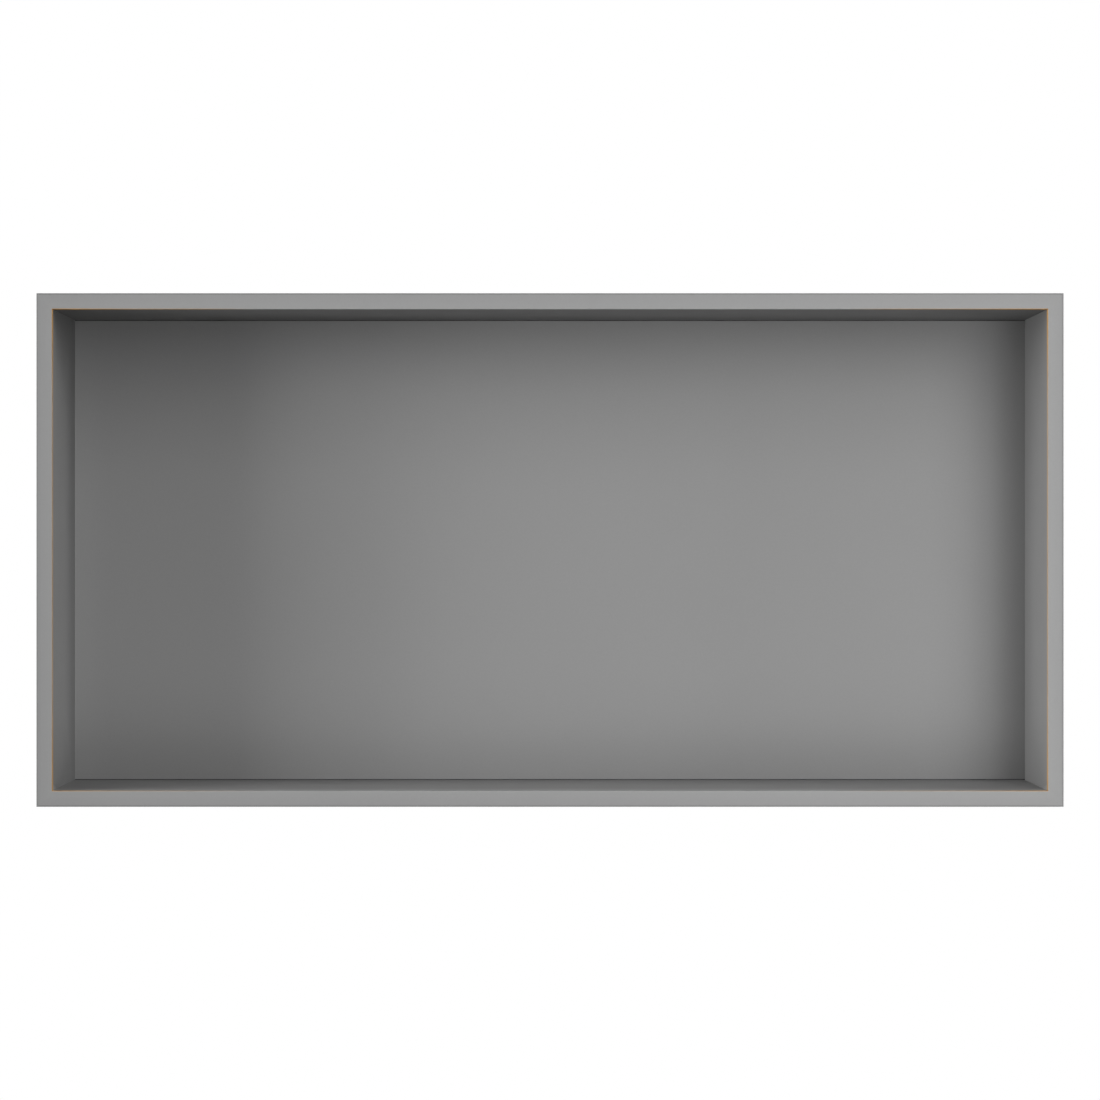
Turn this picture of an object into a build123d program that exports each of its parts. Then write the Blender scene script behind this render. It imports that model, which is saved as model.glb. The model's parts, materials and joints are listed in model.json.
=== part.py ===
from build123d import *
import os

# A niche for a shower wall, folded from steel sheet, welded at its corners and coated.
# All sizes are in millimetres. X runs along the niche, +Z is up and +Y points into the wall.
# The origin is the centre of the plane in which the lip's edge seats on the wall board.

# Sizes that show from the front
rim_width = 609.6  # over the lip, left to right: 24 inches
rim_height = 304.8  # over the lip, bottom to top: 12 inches
rim_face = 9.525  # the flat frame that shows round the opening: 3/8 inch

# Sizes into the wall
niche_depth = 101.6  # from the rim's face to the back panel's rear face: 4 inches
lip_depth = 9.525  # from the rim's face to the lip's edge, the thickness of a tile and its bed

# The sheet and its folds, each grooved on its inside first so that it folds sharp
sheet = 1.0  # thickness of the sheet
fold_inside = 0.1  # radius on the inside of a fold
fold_outside = 0.4  # radius on the outside of a fold

# The hairline groove along the back edges of the top and bottom walls
groove_width = 0.45
groove_depth = 0.5

# Places that follow from these sizes
opening_width = rim_width - 2 * rim_face
opening_height = rim_height - 2 * rim_face
rim_front = -lip_depth  # in Y, the rim's face
back_rear = niche_depth - lip_depth  # in Y, the back panel's rear face
back_front = back_rear - sheet  # in Y, the back panel's front face


def folded_section():
    """Lip, rim, wall and the start of the back panel: one bent strip of sheet, seen end on."""
    lip_outer = rim_width / 2
    wall_inner = opening_width / 2
    strip_end = wall_inner - fold_inside - sheet
    corners_and_radii = [
        ((lip_outer, 0), 0),
        ((lip_outer, rim_front), fold_outside),
        ((wall_inner, rim_front), fold_outside),
        ((wall_inner, back_front), fold_inside),
        ((strip_end, back_front), 0),
        ((strip_end, back_rear), 0),
        ((wall_inner + sheet, back_rear), fold_outside),
        ((wall_inner + sheet, rim_front + sheet), fold_inside),
        ((lip_outer - sheet, rim_front + sheet), fold_inside),
        ((lip_outer - sheet, 0), 0),
    ]
    corners, radii = zip(*corners_and_radii)
    outline = FilletPolyline(*corners, radius=radii, close=True)
    return make_face(outline).face()


def folded_frame():
    """The section carried round the opening from its lower right corner, with all four corners mitred."""
    right = opening_width / 2
    top = opening_height / 2
    corners = [(right, 0, -top), (right, 0, top), (-right, 0, top), (-right, 0, -top)]
    round_the_opening = Polyline(corners, close=True)
    section = Pos(0, 0, -top) * folded_section()
    return sweep(section, path=round_the_opening, transition=Transition.RIGHT)


def back_panel():
    """The flat of the back, which fills the frame from fold to fold."""
    panel = Box(opening_width - 2 * fold_inside, sheet, opening_height - 2 * fold_inside)
    return Pos(0, back_rear - sheet / 2, 0) * panel


def back_grooves():
    """The two hairlines: each also clears the fold's inside round, so that the wall ends in a sharp line."""
    reach = fold_inside + groove_depth
    groove = Box(opening_width, reach, groove_width)
    middle_y = back_front - fold_inside + reach / 2
    middle_z = opening_height / 2 - groove_width / 2
    return [Pos(0, middle_y, side * middle_z) * groove for side in (1, -1)]


niche_body = folded_frame() + back_panel() - back_grooves()
niche_body.label = "niche_body"

os.makedirs("parts", exist_ok=True)
export_step(niche_body, "parts/niche_body.step")
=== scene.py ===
# %% [markdown]
# # A shower niche in coated steel
#
# The object is a niche for a tiled shower wall: a shallow box that holds bottles and soap. It is folded
# from sheet steel, with a flat rim round its opening and a lip that turns back from the rim to the wall
# board. Its shape comes ready from a CAD model. Blender could model the box again, but then two shapes
# would have to agree, so the CAD solid is loaded as a fixed frame, and this lesson gives it a finish, a
# studio and a camera.

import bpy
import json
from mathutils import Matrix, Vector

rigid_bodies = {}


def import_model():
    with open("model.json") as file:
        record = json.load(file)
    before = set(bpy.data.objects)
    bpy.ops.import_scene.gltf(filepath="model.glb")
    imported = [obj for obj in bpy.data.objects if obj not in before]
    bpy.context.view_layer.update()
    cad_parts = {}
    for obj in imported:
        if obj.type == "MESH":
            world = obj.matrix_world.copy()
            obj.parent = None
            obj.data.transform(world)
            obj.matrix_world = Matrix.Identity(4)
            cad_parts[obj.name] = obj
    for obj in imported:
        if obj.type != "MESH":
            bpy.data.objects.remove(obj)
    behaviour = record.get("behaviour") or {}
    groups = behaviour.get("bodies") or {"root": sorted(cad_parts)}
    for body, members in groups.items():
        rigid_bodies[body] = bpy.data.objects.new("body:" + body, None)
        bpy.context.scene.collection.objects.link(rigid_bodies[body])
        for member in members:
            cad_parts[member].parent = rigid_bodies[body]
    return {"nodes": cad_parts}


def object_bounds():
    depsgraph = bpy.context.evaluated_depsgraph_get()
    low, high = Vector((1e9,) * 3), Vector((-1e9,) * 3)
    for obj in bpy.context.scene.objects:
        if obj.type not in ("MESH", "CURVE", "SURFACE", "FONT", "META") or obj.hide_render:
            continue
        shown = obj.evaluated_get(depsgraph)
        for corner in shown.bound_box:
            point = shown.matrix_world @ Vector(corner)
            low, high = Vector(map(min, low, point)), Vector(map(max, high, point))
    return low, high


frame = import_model()
niche = frame["nodes"]["niche_body"]
cad_low, cad_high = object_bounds()


def in_mm(*lengths):
    """Lengths in metres, written out in millimetres."""
    return " x ".join(f"{1000 * length:.2f}" for length in lengths) + " mm"


print("niche_body:", len(niche.data.polygons), "faces,", in_mm(*(cad_high - cad_low)))

# %% [markdown]
# ## Feeling out the recess
#
# The finish changes from place to place: the rim is handled, the recess and its deep corners are painted
# darker as shade, and the rear is never seen. So the script has to know where the walls and the back
# panel are. Their places could be copied from the CAD source, but a copy goes stale when the niche is
# resized. Instead three rays start in the middle of the recess and feel for the right wall, the top wall
# and the back panel, as a hand would.

# %% Measure the recess
import bpy
from mathutils import Vector

bpy.context.view_layer.update()
recess_middle = (cad_low + cad_high) / 2


def reach(direction):
    """Distance from the middle of the recess to the first surface that way, in metres."""
    hit, place, normal, face = niche.ray_cast(recess_middle, Vector(direction))
    return (place - recess_middle).length


half_width = reach((1, 0, 0))
half_height = reach((0, 0, 1))
back_face = recess_middle.y + reach((0, 1, 0))
rim_front = cad_low.y
rim_face = cad_high.x - half_width
sheet = cad_high.y - back_face
print("opening:", in_mm(2 * half_width, 2 * half_height))
print("rim face:", in_mm(rim_face), "and sheet:", in_mm(sheet))

# %% [markdown]
# ## Small tools for node graphs
#
# A material in Blender is a graph of nodes. It can be wired by hand in the Shader Editor, but a graph
# written in code can be read from top to bottom and built again without a slip. Five short functions
# keep that code readable: one adds a node, one fills a socket with a number or a link, and three wrap
# the nodes that are needed most, which are Math, Map Range and Mix.

# %% Node helpers
def add_node(tree, kind, **settings):
    """Adds a node of that kind, with the named properties set."""
    node = tree.nodes.new(kind)
    for name, value in settings.items():
        setattr(node, name, value)
    return node


def feed(tree, socket, value):
    """Links a socket to another node's output, or sets its plain value."""
    if isinstance(value, bpy.types.NodeSocket):
        tree.links.new(value, socket)
    else:
        socket.default_value = value


def calc(tree, operation, *values):
    """One Math node on sockets or numbers; gives its output."""
    node = add_node(tree, "ShaderNodeMath", operation=operation)
    for socket, value in zip(node.inputs, values):
        feed(tree, socket, value)
    return node.outputs["Value"]


def ramp(tree, value, start, end, low=0.0, high=1.0):
    """A smooth step: low where value is before start, high where it is past end."""
    node = add_node(tree, "ShaderNodeMapRange", interpolation_type="SMOOTHSTEP")
    settings = {"Value": value, "From Min": start, "From Max": end, "To Min": low, "To Max": high}
    for label, number in settings.items():
        feed(tree, node.inputs[label], number)
    return node.outputs["Result"]


def blend(tree, share, plain, other, kind="FLOAT"):
    """Mixes two numbers, or two colours of kind RGBA: plain where share is 0, other where it is 1."""
    node = add_node(tree, "ShaderNodeMix", data_type=kind)
    factor, first, second = [socket for socket in node.inputs if socket.enabled]
    feed(tree, factor, share)
    feed(tree, first, plain)
    feed(tree, second, other)
    return next(socket for socket in node.outputs if socket.enabled)


print("helpers: add_node, feed, calc, ramp, blend")

# %% [markdown]
# ## A shared group: soft mottle
#
# No paint is quite even. Its tone drifts over a hand's width, its pigment is grainy close up, and its
# skin has a faint ripple. All of these are the same thing at different sizes: smooth noise with a cell
# size and a contrast. The coat needs it several times and the floor needs it too, so it is a node group
# with named sockets, built once. A picture texture could do the same, but it would have to be unwrapped
# and would blur in a close view.

# %% Soft mottle group
mottle_detail = 3.0


def make_soft_mottle():
    """A group that turns a place and a cell size into a tone near 1 and a height from 0 to 1."""
    group = bpy.data.node_groups.new("soft_mottle", "ShaderNodeTree")
    inputs = {"Place": "NodeSocketVector", "Cell Size": "NodeSocketFloat", "Contrast": "NodeSocketFloat"}
    for label, kind in inputs.items():
        group.interface.new_socket(label, in_out="INPUT", socket_type=kind)
    for label in ("Tone", "Height"):
        group.interface.new_socket(label, in_out="OUTPUT", socket_type="NodeSocketFloat")
    given = add_node(group, "NodeGroupInput").outputs
    result = add_node(group, "NodeGroupOutput").inputs
    noise = add_node(group, "ShaderNodeTexNoise")
    feed(group, noise.inputs["Detail"], mottle_detail)
    feed(group, noise.inputs["Vector"], given["Place"])
    feed(group, noise.inputs["Scale"], calc(group, "DIVIDE", 1.0, given["Cell Size"]))
    height = noise.outputs[0]
    swing = calc(group, "MULTIPLY_ADD", height, 2.0, -1.0)
    feed(group, result["Tone"], calc(group, "MULTIPLY_ADD", swing, given["Contrast"], 1.0))
    feed(group, result["Height"], height)
    return group


soft_mottle = make_soft_mottle()


def mottle(tree, place, cell_size, contrast=0.0):
    """Places the group in a material; gives its outputs."""
    node = add_node(tree, "ShaderNodeGroup", node_tree=soft_mottle)
    for label, value in (("Place", place), ("Cell Size", cell_size), ("Contrast", contrast)):
        feed(tree, node.inputs[label], value)
    return node.outputs


print("group:", soft_mottle.name, "with", len(soft_mottle.nodes), "nodes")

# %% [markdown]
# ## The grey coat, first its map
#
# The niche has one finish all over: a matte grey powder coat, sprayed on dry and baked. Before it is
# coloured, the material needs to know where on the niche a point lies. Vertex groups or a painted mask
# could say so, but they need a denser mesh than a folded box has. Here the object coordinates, which are
# the CAD frame's own metres, are turned into distances from the side walls, from the top and bottom
# walls, from the back and from the rim. Of the two wall distances, the smaller one is how far it is to
# the nearest wall, and for a point on a wall the larger one is how far it is to the end of that wall.

# %% Distances over the niche
coat = bpy.data.materials.new("matte_grey_coat")
coat.use_nodes = True
graph = coat.node_tree
point = add_node(graph, "ShaderNodeTexCoord").outputs["Object"]
axes = add_node(graph, "ShaderNodeSeparateXYZ")
feed(graph, axes.inputs["Vector"], point)
x, y, z = axes.outputs
from_side = calc(graph, "SUBTRACT", half_width, calc(graph, "ABSOLUTE", x))
from_level = calc(graph, "SUBTRACT", half_height, calc(graph, "ABSOLUTE", z))
from_wall = calc(graph, "MINIMUM", from_side, from_level)
from_end = calc(graph, "MAXIMUM", from_side, from_level)
from_back = calc(graph, "SUBTRACT", back_face, y)
depth = calc(graph, "SUBTRACT", y, rim_front)
print("map: depth, and distances from the walls, their ends and the back")

# %% [markdown]
# ## Masks from the map
#
# With the distances at hand, each area of the niche is a mask, 1 inside it and 0 outside: the recess
# behind the rim, the back panel, the hairline grooves along the panel's top and bottom, and all that
# goes into the wall. The same areas could be marked on the mesh as material slots, but slots have hard
# borders, and the recess has none: the rim's lighter tone and its roughness run a few millimetres in,
# and further on the bottom wall, where the lighter tone is painted light on the front of the sill.

# %% Areas of the niche
rim_fade = 0.006
# Painted light: the sill fade carries the rim's lighter tone further onto the front of the bottom wall.
sill_fade = 0.026
corner_blend = 0.004
touch = 0.25 * sheet
groove_start = 0.05 * sheet
rim_back_span = (0.50 * sheet, 0.95 * sheet)

fade_length = ramp(graph, z, -half_height, corner_blend - half_height, sill_fade, rim_fade)
past_rim = ramp(graph, depth, 0.0, fade_length)
on_back = calc(graph, "LESS_THAN", from_back, touch)
behind_rim = ramp(graph, depth, *rim_back_span)
outside_walls = calc(graph, "MULTIPLY", calc(graph, "LESS_THAN", from_wall, -touch), behind_rim)
behind_back = calc(graph, "LESS_THAN", from_back, touch - sheet)
rear = calc(graph, "MAXIMUM", outside_walls, behind_back)
front = calc(graph, "SUBTRACT", 1.0, rear)
in_groove = calc(graph, "MULTIPLY", calc(graph, "LESS_THAN", from_back, -groove_start), front)
print("areas: rim, recess from", in_mm(rim_fade), "in, back panel, grooves, rear")

# %% [markdown]
# ## Painted shade on the rim and the back panel
#
# The rim and the back panel are painted light, the rim lightest. The rim is painted a little darker
# towards its outer edge, at its left end and along its bottom, and the panel along its long folds. The
# strip of panel beside the right wall gets a painted shadow of that wall, and the one beside the left
# wall some painted light. One flat colour would miss all that, so this painted light and shade is a
# number from
# 0 to 1 that follows the areas and the distances, and where it is low the grey is darker.

# %% Painted shade on rim and back panel
rim_outer_shade_level = 0.92
left_rim_painted_shade, left_rim_reach = 0.08, 0.060
bottom_rim_painted_shade = 0.04
back_shade_level = 0.855
back_fold_painted_shade, back_fold_reach = 0.10, 0.030
left_strip_painted_light, right_strip_painted_shadow = 0.10, 0.40
strip_reach = 0.024

from_left = calc(graph, "ADD", half_width, x)
from_right = calc(graph, "SUBTRACT", half_width, x)
# Painted shade on the rim: darker towards its outer edge, at its left end and along its bottom.
painted_shade_on_rim = ramp(graph, from_wall, -rim_face, 0.0, rim_outer_shade_level, 1.0)
painted_shade_at_left = ramp(graph, from_left, 0.0, left_rim_reach, left_rim_painted_shade, 0.0)
painted_shade_at_bottom = ramp(graph, z, -half_height, half_height, bottom_rim_painted_shade, 0.0)
painted_shade_on_rim = calc(graph, "SUBTRACT", painted_shade_on_rim, calc(graph, "ADD", painted_shade_at_left, painted_shade_at_bottom))
# Painted shade on the back panel along its top and bottom folds; a painted shadow of the right wall on
# the strip beside it, and painted light on the strip beside the left wall.
painted_shade_on_back = ramp(graph, from_level, 0.0, back_fold_reach, back_shade_level - back_fold_painted_shade, back_shade_level)
left_strip = ramp(graph, from_left, 0.0, strip_reach, left_strip_painted_light, 0.0)
right_strip = ramp(graph, from_right, 0.0, strip_reach, right_strip_painted_shadow, 0.0)
painted_shade_on_back = calc(graph, "ADD", painted_shade_on_back, calc(graph, "SUBTRACT", left_strip, right_strip))
print("film: rim", rim_outer_shade_level, "to 1.0, back panel", back_shade_level)

# %% [markdown]
# ## Painted shade on the walls
#
# The walls are painted much darker than the rim, as the shade in the recess. They are painted lighter
# downwards and the ceiling darkest, as light from above leaves them. The deep corners are painted darker
# still, most of all at the rear of the left wall. One amount of shade for all corners would be simpler,
# but then both ends of the recess would look alike.

# %% Painted shade on the walls
wall_shade_level = 0.57
left_rear_painted_shade, right_rear_painted_shade, level_rear_painted_shade = 0.40, 0.12, 0.25
left_end_painted_shade, right_end_painted_shade = 0.27, 0.15
corner_reach, level_end_reach = 0.050, 0.090
ceiling_painted_shade = 0.33
downward_painted_light = 0.06

# Painted shade: the walls are darker than the rim, darker still in the deep corners, at the wall ends
# and on the ceiling, and lighter downwards.
above = calc(graph, "GREATER_THAN", z, 0.0)
on_right = calc(graph, "GREATER_THAN", x, 0.0)
on_level = calc(graph, "LESS_THAN", from_level, from_side)
on_ceiling = calc(graph, "MULTIPLY", above, on_level)
most_on_side = blend(graph, on_right, left_rear_painted_shade, right_rear_painted_shade)
most_at_rear = blend(graph, on_level, most_on_side, level_rear_painted_shade)
deep_corner_painted_shade = calc(graph, "MULTIPLY", most_at_rear, ramp(graph, from_back, 0.0, corner_reach, 1.0, 0.0))
most_at_end = blend(graph, on_right, left_end_painted_shade, right_end_painted_shade)
end_reach = blend(graph, on_level, corner_reach, level_end_reach)
wall_end_painted_shade = calc(graph, "MULTIPLY", most_at_end, ramp(graph, from_end, 0.0, end_reach, 1.0, 0.0))
painted_shade_on_walls = calc(graph, "SUBTRACT", wall_shade_level, calc(graph, "MAXIMUM", deep_corner_painted_shade, wall_end_painted_shade))
painted_shade_on_walls = calc(graph, "MULTIPLY_ADD", on_ceiling, -ceiling_painted_shade, painted_shade_on_walls)
painted_shade_on_walls = calc(graph, "MULTIPLY_ADD", z, -downward_painted_light / half_height, painted_shade_on_walls)
print("film: walls", wall_shade_level, "and ceiling", round(wall_shade_level - ceiling_painted_shade, 3))

# %% [markdown]
# ## Coat and painted shade for the whole niche
#
# The rear goes into the wall, so it gets a single quick pass of the gun, and there the number stands for
# that thin coat. In front it stands for the painted shade. Rim, recess and rear could each be a material
# of their own, but it is one coat, and the number has to run from one area to the next without a seam.
# So the masks blend the numbers instead.

# %% Coat and painted shade all over
rear_film = 0.74

painted_shade_inside = blend(graph, on_back, painted_shade_on_walls, painted_shade_on_back)
painted_shade_in_front = blend(graph, past_rim, painted_shade_on_rim, painted_shade_inside)
coat_and_painted_shade = blend(graph, rear, painted_shade_in_front, rear_film)
print("film: rear", rear_film)

# %% [markdown]
# ## Colour of the coat
#
# The number for the coat and the painted shade sets the grey: low numbers paint it darker. On top of it
# come two mottles: a drift of tone as wide as a hand, from the spray gun's passes, and a fine grain from
# the pigment. Both stay within a few percent, because the real coat looks plain. A Color Ramp could turn
# that number into grey, but the grey has no hue, so single numbers are blended and multiplied, and they
# become a colour only at the end.

# %% Grey tone
full_coat_grey = 0.338
thin_coat_grey = 0.13
groove_grey = 0.03
drift_size, drift_contrast = 0.09, 0.020
grain_size, grain_contrast = 0.0014, 0.030

spray_drift = mottle(graph, point, drift_size, drift_contrast)
pigment_grain = mottle(graph, point, grain_size, grain_contrast)
# Painted shade: where the number is low, the grey is blended towards the dark grey; only on the rear is
# that a real thin coat.
grey = blend(graph, coat_and_painted_shade, thin_coat_grey, full_coat_grey)
grey = calc(graph, "MULTIPLY", grey, spray_drift["Tone"])
grey = calc(graph, "MULTIPLY", grey, pigment_grain["Tone"])
# Painted shade: the grooves are painted near black, which darkens the creases along the panel's top and
# bottom.
grey = blend(graph, in_groove, grey, groove_grey)
print("grey: from", thin_coat_grey, "to", full_coat_grey, "and", groove_grey, "in the grooves")

# %% [markdown]
# ## Finding the folds
#
# The rim has two folds, an inner one round the opening and an outer one where the lip turns back. The
# inner one shows worn primer, and the outer one is only made darker. An edge mask from a Bevel node
# could find folds, but it can't tell one from the other, so the distances pick them out again: for the
# inner fold a band on the rim's edge that runs a few millimetres down the wall, and for the outer fold a
# band on the rim that runs twice as far along the lip.

# %% Band along each fold
fold_width = 0.55 * sheet
wall_band = 0.005
band_core = 0.35
outer_fold_width = 1.3 * sheet
outer_fold_core = 0.5
lip_share = 0.5

on_rim_side = calc(graph, "DIVIDE", from_wall, -fold_width)
on_wall_side = calc(graph, "DIVIDE", depth, wall_band)
from_arris = calc(graph, "MAXIMUM", on_rim_side, on_wall_side)
inner_fold = calc(graph, "MULTIPLY", ramp(graph, from_arris, band_core, 1.0, 1.0, 0.0), front)
in_from_edge = calc(graph, "ADD", from_wall, rim_face)
from_edge = calc(graph, "MAXIMUM", in_from_edge, calc(graph, "MULTIPLY", depth, lip_share))
outer_fold = ramp(graph, from_edge, outer_fold_core * outer_fold_width, outer_fold_width, 1.0, 0.0)
print("bands:", in_mm(fold_width), "at the inner fold and", in_mm(outer_fold_width), "at the outer one")

# %% [markdown]
# ## Wear on the folds
#
# A sharp fold is where powder holds worst and hands rub most, so it is dabbed with tan primer before the
# coat. Along the inner fold a hairline of that primer shows through: evenly along both ends, along the
# top and bottom only towards their corners, and most in the corners. The outer fold only looks a little
# darker. Scratches drawn by hand would look livelier close up, but one smooth blend suits a part that
# has hardly been used.

# %% Edge wear
primer_colour = (0.50, 0.28, 0.09, 1.0)
side_wear, top_wear, bottom_wear = 0.50, 0.62, 0.32
top_wear_span = (0.085, 0.125)
bottom_wear_span = (0.060, 0.140)
top_corner_wear, bottom_corner_wear = 0.50, 0.40
corner_wear_reach = 0.060
outer_fold_darkness = 0.20

wear_on_top = ramp(graph, from_end, *top_wear_span, top_wear, 0.0)
wear_on_bottom = ramp(graph, from_end, *bottom_wear_span, bottom_wear, 0.0)
wear_on_level = blend(graph, above, wear_on_bottom, wear_on_top)
wear = blend(graph, on_level, side_wear, wear_on_level)
most_in_corner = blend(graph, above, bottom_corner_wear, top_corner_wear)
near_corner = ramp(graph, from_end, 0.0, corner_wear_reach, 1.0, 0.0)
wear = calc(graph, "ADD", wear, calc(graph, "MULTIPLY", near_corner, most_in_corner))
wear = calc(graph, "MULTIPLY", wear, inner_fold)
# The outer fold is made darker along its band.
outer_fold_darkening = calc(graph, "MULTIPLY_ADD", outer_fold, -outer_fold_darkness, 1.0)
grey = calc(graph, "MULTIPLY", grey, outer_fold_darkening)
coat_colour = blend(graph, wear, grey, primer_colour, kind="RGBA")
print("wear: ends", side_wear, "top", top_wear, "bottom", bottom_wear, "and more in the corners")

# %% [markdown]
# ## Sheen and skin
#
# A matte powder coat has a broad, weak highlight. Its roughness is the shader's Roughness, raised a
# little in the recess and more on the rear, where the powder lies drier, and varied with a mottle. Its
# skin has a ripple of a few millimetres, called orange peel, and a much finer grain. Both are far too
# shallow to model, a few thousandths of a millimetre, so they are bump, with the height given in metres
# as everything else.

# %% Roughness and bump
rim_roughness, recess_roughness, rear_roughness = 0.50, 0.56, 0.68
sheen_size, sheen_contrast = 0.035, 0.10
peel_size, peel_height = 0.0032, 0.000012
skin_size, skin_height = 0.0005, 0.000004


def ripple(cell_size, height, under=None):
    """A Bump node of that cell size and height in metres, laid over another bump if one is given."""
    bump = add_node(graph, "ShaderNodeBump")
    feed(graph, bump.inputs["Distance"], height)
    feed(graph, bump.inputs["Height"], mottle(graph, point, cell_size)["Height"])
    if under:
        feed(graph, bump.inputs["Normal"], under)
    return bump.outputs["Normal"]


sheen = mottle(graph, point, sheen_size, sheen_contrast)
roughness_in_front = blend(graph, past_rim, rim_roughness, recess_roughness)
roughness = blend(graph, rear, roughness_in_front, rear_roughness)
roughness = calc(graph, "MULTIPLY", roughness, sheen["Tone"])
peel = ripple(peel_size, peel_height)
skin = ripple(skin_size, skin_height, under=peel)
print("skin: ripple", in_mm(peel_size), "wide and grain", in_mm(skin_size), "wide")

# %% [markdown]
# ## Putting the coat on
#
# All of this meets in one Principled shader. A plain Diffuse shader would be enough for chalk, but the
# coat has a soft sheen at low angles, which Principled gives. How strongly it shines is the same all
# over, so that number is set on the shader's own socket.

# %% Coat on the niche
specular_level = 0.27

shader = graph.nodes["Principled BSDF"]
feed(graph, shader.inputs["Base Color"], coat_colour)
feed(graph, shader.inputs["Roughness"], roughness)
feed(graph, shader.inputs["Normal"], skin)
feed(graph, shader.inputs["Specular IOR Level"], specular_level)
niche.data.materials.clear()
niche.data.materials.append(coat)
print("coat:", len(graph.nodes), "nodes on", niche.name)

# %% [markdown]
# ## The floor
#
# A niche hangs in a wall at about hip height, so the floor is well below it and out of the picture from
# the front. It still belongs in the studio, for the views from above. The menu's plane would do, but
# that operator depends on what is selected, so the floor is a grid built as plain data. It throws no
# light back up, because the lamps alone shall shape the recess.

# %% Floor
import bmesh

floor_below_niche = 1.1
floor_half = 3.2
floor_cells = 16

floor_mesh = bpy.data.meshes.new("studio_floor")
shape = bmesh.new()
bmesh.ops.create_grid(shape, x_segments=floor_cells, y_segments=floor_cells, size=floor_half)
shape.to_mesh(floor_mesh)
shape.free()
floor = bpy.data.objects.new("studio_floor", floor_mesh)
floor.location.z = cad_low.z - floor_below_niche
bpy.context.scene.collection.objects.link(floor)
floor.visible_diffuse = False
print("floor:", 2 * floor_half, "m square at", round(floor.location.z, 3), "m")

# %% [markdown]
# ## A helper for pale things
#
# Floor and surround should look white without lighting the niche. Each could be burnt out with strong
# lamps, but then the niche would burn too. A Light Path node tells what kind of ray is looking, so that
# a surface can show one brightness to the camera and to reflections and another to the light that falls
# on things.

# %% Who is looking
def seen_by_eye(tree):
    """1 for rays from the camera, a reflection or a clear surface, 0 for light that falls on things."""
    path = add_node(tree, "ShaderNodeLightPath").outputs
    mirrored = calc(tree, "MAXIMUM", path["Is Glossy Ray"], path["Is Transmission Ray"])
    return calc(tree, "MAXIMUM", path["Is Camera Ray"], mirrored)


print("helper: seen_by_eye")

# %% [markdown]
# ## Floor paint
#
# The floor is pale and soft, and fades into the white round about, so that it has no visible end. A
# backdrop that curves up behind the niche would hide the end as well, but only from one side. Part of
# the floor's brightness is emission that only the eye sees. The rest is lit by the lamps, and so it
# keeps the shadow.

# %% Paint on the floor
floor_grey = 0.80
floor_glow = 0.28
floor_roughness = 0.8
fade_start, fade_end = 1.0, 2.8
cloud_size, cloud_contrast = 0.45, 0.015
speck_size, speck_contrast = 0.006, 0.020
white = (1.0, 1.0, 1.0, 1.0)

paint = bpy.data.materials.new("pale_floor_paint")
paint.use_nodes = True
paint_graph = paint.node_tree
floor_point = add_node(paint_graph, "ShaderNodeTexCoord").outputs["Object"]
distance = add_node(paint_graph, "ShaderNodeVectorMath", operation="LENGTH")
feed(paint_graph, distance.inputs[0], floor_point)
fade = ramp(paint_graph, distance.outputs["Value"], fade_start, fade_end)
cloud = mottle(paint_graph, floor_point, cloud_size, cloud_contrast)
speck = mottle(paint_graph, floor_point, speck_size, speck_contrast)
tone = calc(paint_graph, "MULTIPLY", cloud["Tone"], speck["Tone"])
tone = calc(paint_graph, "MULTIPLY", tone, blend(paint_graph, fade, floor_grey, 0.0))
glow = blend(paint_graph, fade, floor_glow, 1.0)
glow = calc(paint_graph, "MULTIPLY", glow, seen_by_eye(paint_graph))
floor_shader = paint_graph.nodes["Principled BSDF"]
feed(paint_graph, floor_shader.inputs["Base Color"], tone)
feed(paint_graph, floor_shader.inputs["Roughness"], floor_roughness)
feed(paint_graph, floor_shader.inputs["Specular IOR Level"], 0.0)
feed(paint_graph, floor_shader.inputs["Emission Color"], white)
feed(paint_graph, floor_shader.inputs["Emission Strength"], glow)
floor_mesh.materials.append(paint)
print("floor paint:", len(paint_graph.nodes), "nodes")

# %% [markdown]
# ## A floor with one side
#
# Some views look at the niche from below, where the floor would stand in the way. It could be hidden by
# hand for those, but one scene has to serve all views. So the paint asks which side of the floor is
# seen, and from below it is clear.

# %% One-sided floor
underside = add_node(paint_graph, "ShaderNodeNewGeometry").outputs["Backfacing"]
clear = add_node(paint_graph, "ShaderNodeBsdfTransparent")
one_sided = add_node(paint_graph, "ShaderNodeMixShader")
feed(paint_graph, one_sided.inputs["Fac"], underside)
feed(paint_graph, one_sided.inputs[1], floor_shader.outputs["BSDF"])
feed(paint_graph, one_sided.inputs[2], clear.outputs["BSDF"])
feed(paint_graph, paint_graph.nodes["Material Output"].inputs["Surface"], one_sided.outputs["Shader"])
print("floor: see-through from below")

# %% [markdown]
# ## The white round about
#
# The niche is shown on plain white. A white world would also light it from every side and wash the
# recess out, so the world too asks who is looking: a camera or a reflection sees white, and light that
# falls on the niche gets only a trace of it, as from the far walls of a dark studio.

# %% White world
room_light = 0.01

world = bpy.data.worlds.new("white_studio")
world.use_nodes = True
sky = world.node_tree
background = sky.nodes["Background"]
feed(sky, background.inputs["Color"], white)
feed(sky, background.inputs["Strength"], blend(sky, seen_by_eye(sky), room_light, 1.0))
bpy.context.scene.world = world
print("world: white to the eye,", room_light, "to the niche")

# %% [markdown]
# ## The softboxes
#
# Soft light from several sides draws the recess: the walls throw wide blurred shadows on the back panel.
# A single lamp would give hard edges, and an even dome none at all. Each softbox here is a square area
# lamp that is set by two angles round the niche, as a photographer would describe it. Three large ones
# stand on the left, where the left wall keeps their light off its end of the panel. Two in front, one
# high and one low, fill the recess, and three on the right light the rest. The closer one stands, the
# faster its light falls off.

# %% Softboxes in front
import math

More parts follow.
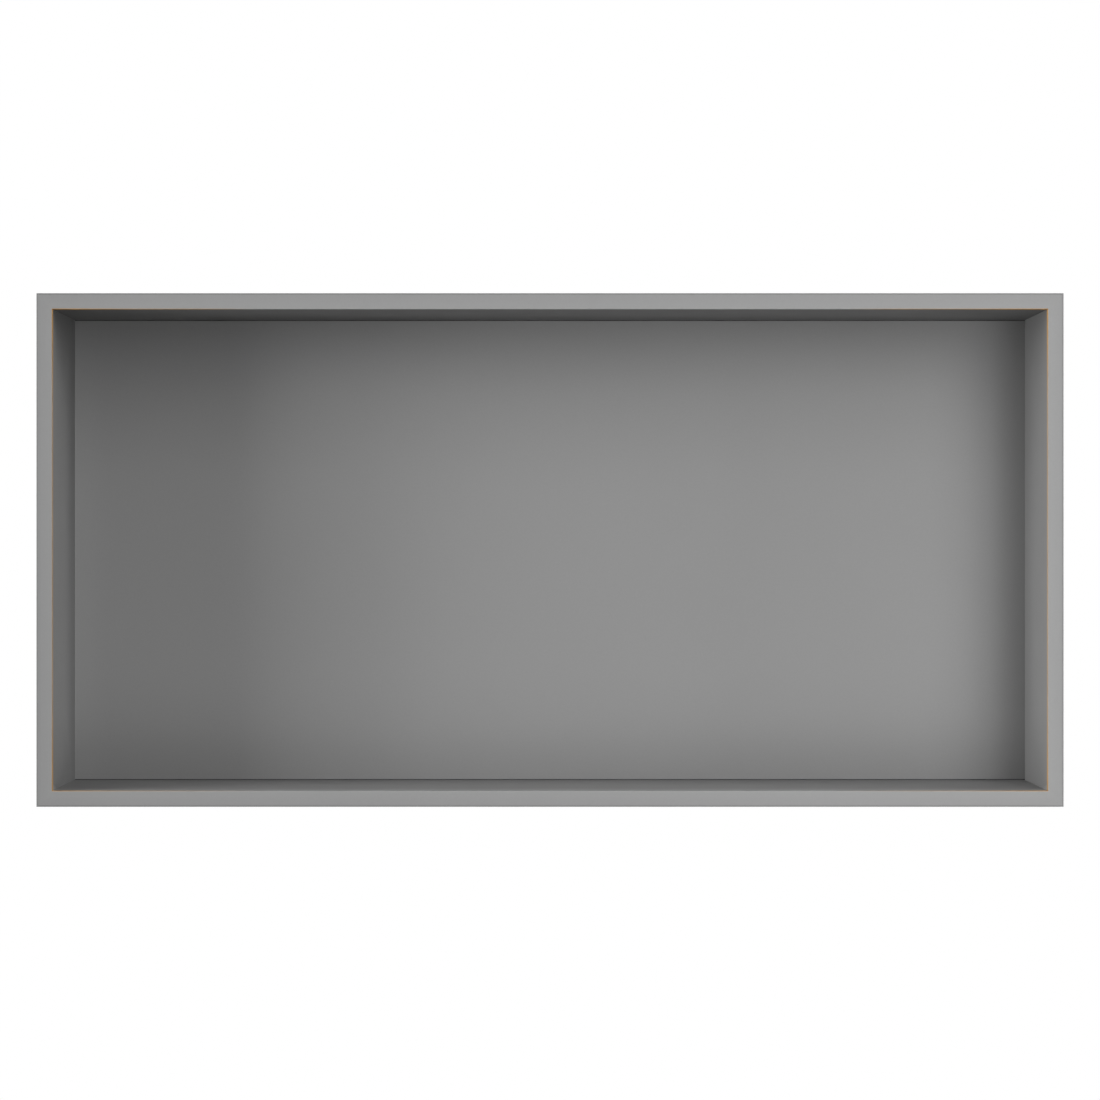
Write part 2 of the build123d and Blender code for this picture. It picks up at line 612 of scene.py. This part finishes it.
aim = Vector((0.0, 0.03, 0.0))
far_box = {"distance": 2.4, "side": 0.9}
middle_box = {"distance": 1.4, "side": 0.5}
near_box = {"distance": 0.7, "side": 0.35}


def softbox(name, azimuth, elevation, watts, distance, side):
    """A square lamp that looks at the niche; azimuth 0 is straight in front and 90 is on the right."""
    turn, rise = math.radians(azimuth), math.radians(elevation)
    towards = Vector((math.sin(turn) * math.cos(rise), -math.cos(turn) * math.cos(rise), math.sin(rise)))
    light = bpy.data.lights.new(name, "AREA")
    light.shape = "SQUARE"
    light.size = side
    light.energy = watts
    lamp = bpy.data.objects.new(name, light)
    lamp.location = aim + distance * towards
    lamp.rotation_euler = (-towards).to_track_quat("-Z", "Y").to_euler()
    lamp.visible_camera = False
    bpy.context.scene.collection.objects.link(lamp)
    print("softbox:", name, "at", azimuth, "and", elevation, "degrees,", watts, "W")


softbox("left_level", azimuth=-60, elevation=5, watts=21.5, **far_box)
softbox("left_high", azimuth=-75, elevation=20, watts=16.5, **far_box)
softbox("left_low", azimuth=-75, elevation=-10, watts=14.1, **far_box)
softbox("front_high", azimuth=15, elevation=35, watts=8.2, **far_box)
softbox("front_low", azimuth=15, elevation=-25, watts=5.3, **far_box)
softbox("right_edge", azimuth=75, elevation=20, watts=14.6, **far_box)
softbox("right_main", azimuth=30, elevation=15, watts=4.3, **middle_box)
softbox("right_near", azimuth=30, elevation=-15, watts=0.97, **near_box)

# %% [markdown]
# ## Light for the rear
#
# The rear of the niche goes into the wall, but a part in a library is looked at from all sides. A
# brighter world would light the rear, but it would also flatten the recess. So two more softboxes stand
# behind the niche. They shine on the faces that the front ones can't reach, and no light of theirs gets
# round to the recess.

# %% Softboxes behind
softbox("rear_left", azimuth=-145, elevation=30, watts=24.0, **far_box)
softbox("rear_right", azimuth=150, elevation=20, watts=18.0, **far_box)

# %% [markdown]
# ## The camera
#
# The view is square on to the opening, from straight in front. A long lens stands well back, so the
# walls of the recess show only as narrow bands; a wider lens up close would show more of them. How far
# back is told by two widths in the picture: the rim's, and the back panel's, which looks smaller because
# it is deeper. The lens then follows from the rim's share of the picture, both counted in pixels.

# %% Camera
picture_width = 1100
rim_in_picture = 1027.3
camera_distance = 2.11
sensor_width = 36.0
frame_width = (cad_high.x - cad_low.x) * picture_width / rim_in_picture

camera_data = bpy.data.cameras.new("front_camera")
camera_data.sensor_width = sensor_width
camera_data.lens = sensor_width * camera_distance / frame_width
camera = bpy.data.objects.new("front_camera", camera_data)
camera.location = (0.0, rim_front - camera_distance, 0.0)
camera.rotation_euler = (math.radians(90), 0.0, 0.0)
bpy.context.scene.collection.objects.link(camera)
bpy.context.scene.camera = camera
print("camera:", round(camera_data.lens, 1), "mm lens,", camera_distance, "m from the rim")

# %% [markdown]
# ## Colours as written
#
# Blender's default view transform bends bright colours to look like film. For a part that has to match
# its record, a colour should come out as it is written, so the plain Standard transform is used.

# %% View transform
bpy.context.scene.view_settings.view_transform = "Standard"
print("view transform:", bpy.context.scene.view_settings.view_transform)

# %% [markdown]
# ## Closing the lesson
#
# The finish may not change the size of the part. The box of the CAD model was kept at the start.

# %% Sizes and finish
import json
